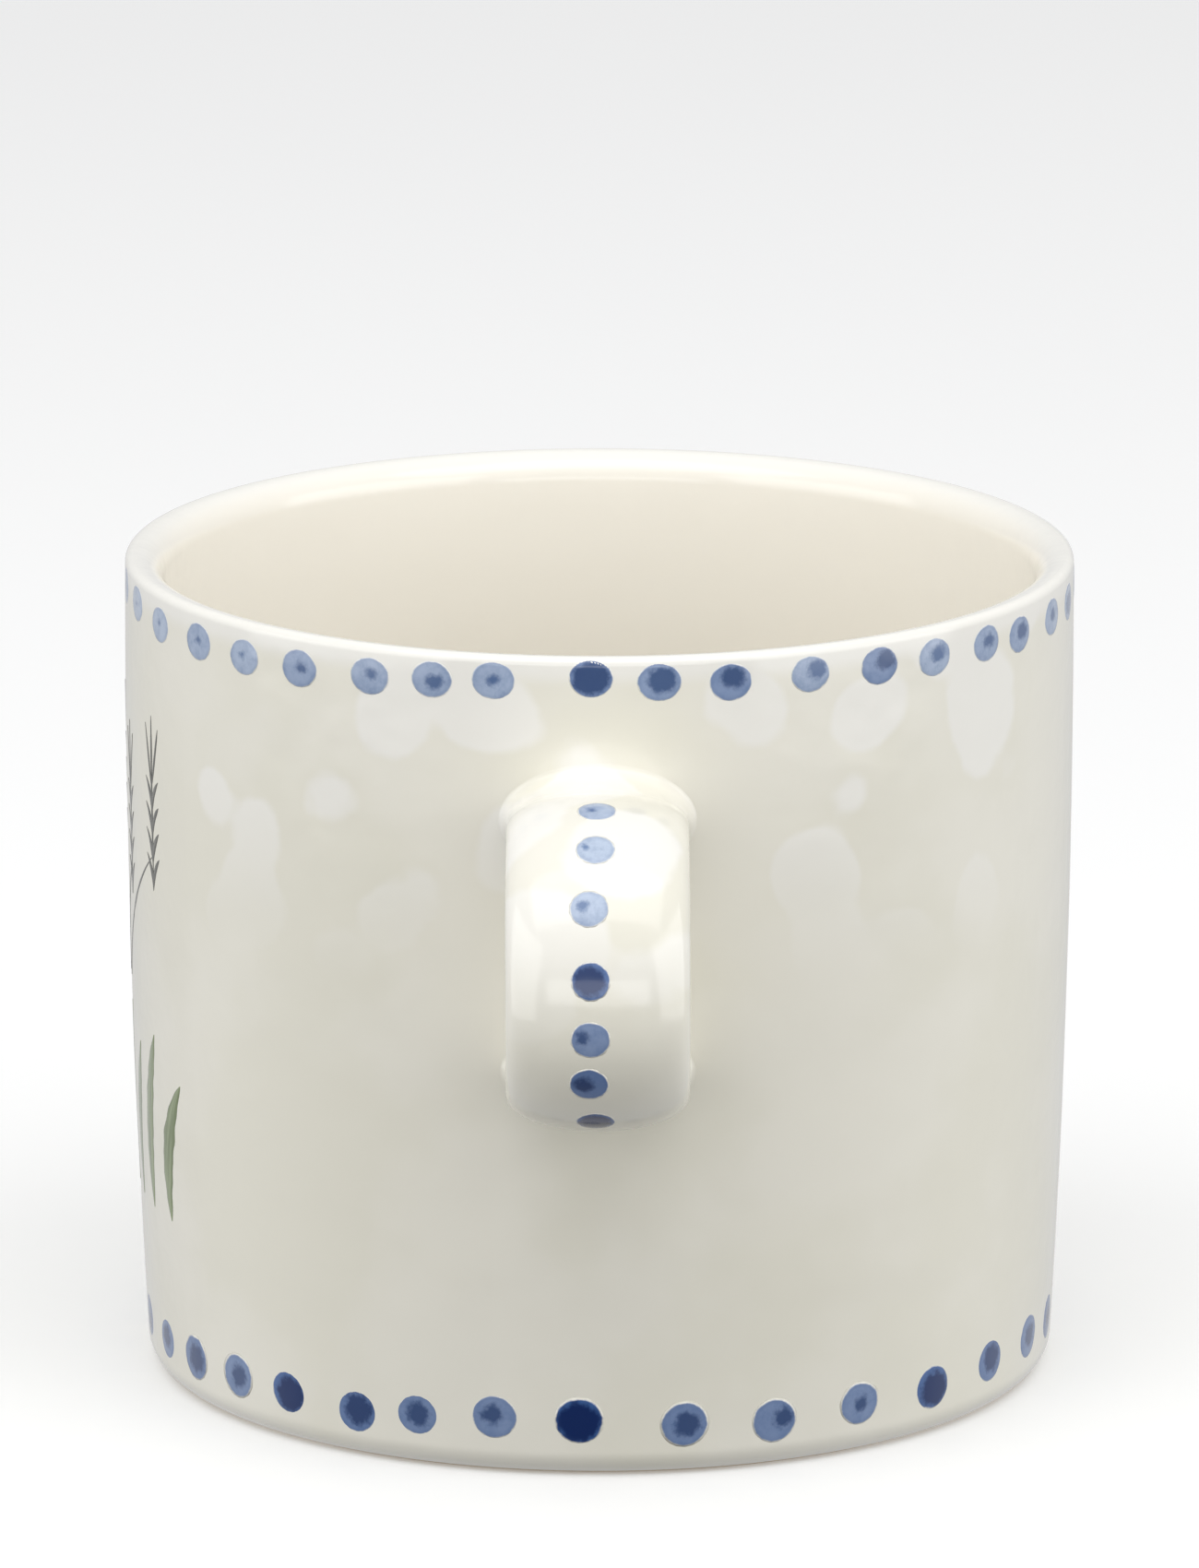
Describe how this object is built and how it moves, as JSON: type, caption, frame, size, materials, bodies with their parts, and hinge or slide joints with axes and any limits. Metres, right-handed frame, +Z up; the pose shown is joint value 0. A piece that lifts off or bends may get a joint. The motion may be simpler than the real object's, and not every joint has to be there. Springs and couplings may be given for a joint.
{
  "type": "mug",
  "caption": "Slightly tapered cylindrical glazed stoneware mug with a strap handle, blue dot borders and a painted plant sprig.",
  "frame": {"origin": "centre of the standing ring, on the surface the mug stands on", "axes": "+Z up along the mug's axis, the handle points along -Y, +X to the right when the handle faces the viewer"},
  "size_m": [0.0903, 0.1172, 0.0788],
  "materials": {
    "stoneware": "bare fired stoneware",
    "slip": "fired joining slip",
    "glaze_outside": "glossy off-white glaze",
    "glaze_inside": "glossy warm cream glaze",
    "cobalt_blue": "glossy painted marks",
    "leaf_green": "glossy painted marks",
    "ink_grey": "glossy painted marks"
  },
  "bodies": {
    "root": {"clay_cup": "stoneware", "clay_handle": "stoneware", "upper_slip_joint": "slip", "lower_slip_joint": "slip", "inside_glaze": "glaze_inside", "outside_glaze": "glaze_outside", "underside_glaze": "glaze_outside", "handle_glaze": "glaze_outside", "rim_dots": "cobalt_blue", "foot_dots": "cobalt_blue", "handle_dots": "cobalt_blue", "green_leaves": "leaf_green", "ink_ears": "ink_grey"}
  },
  "joints": []
}
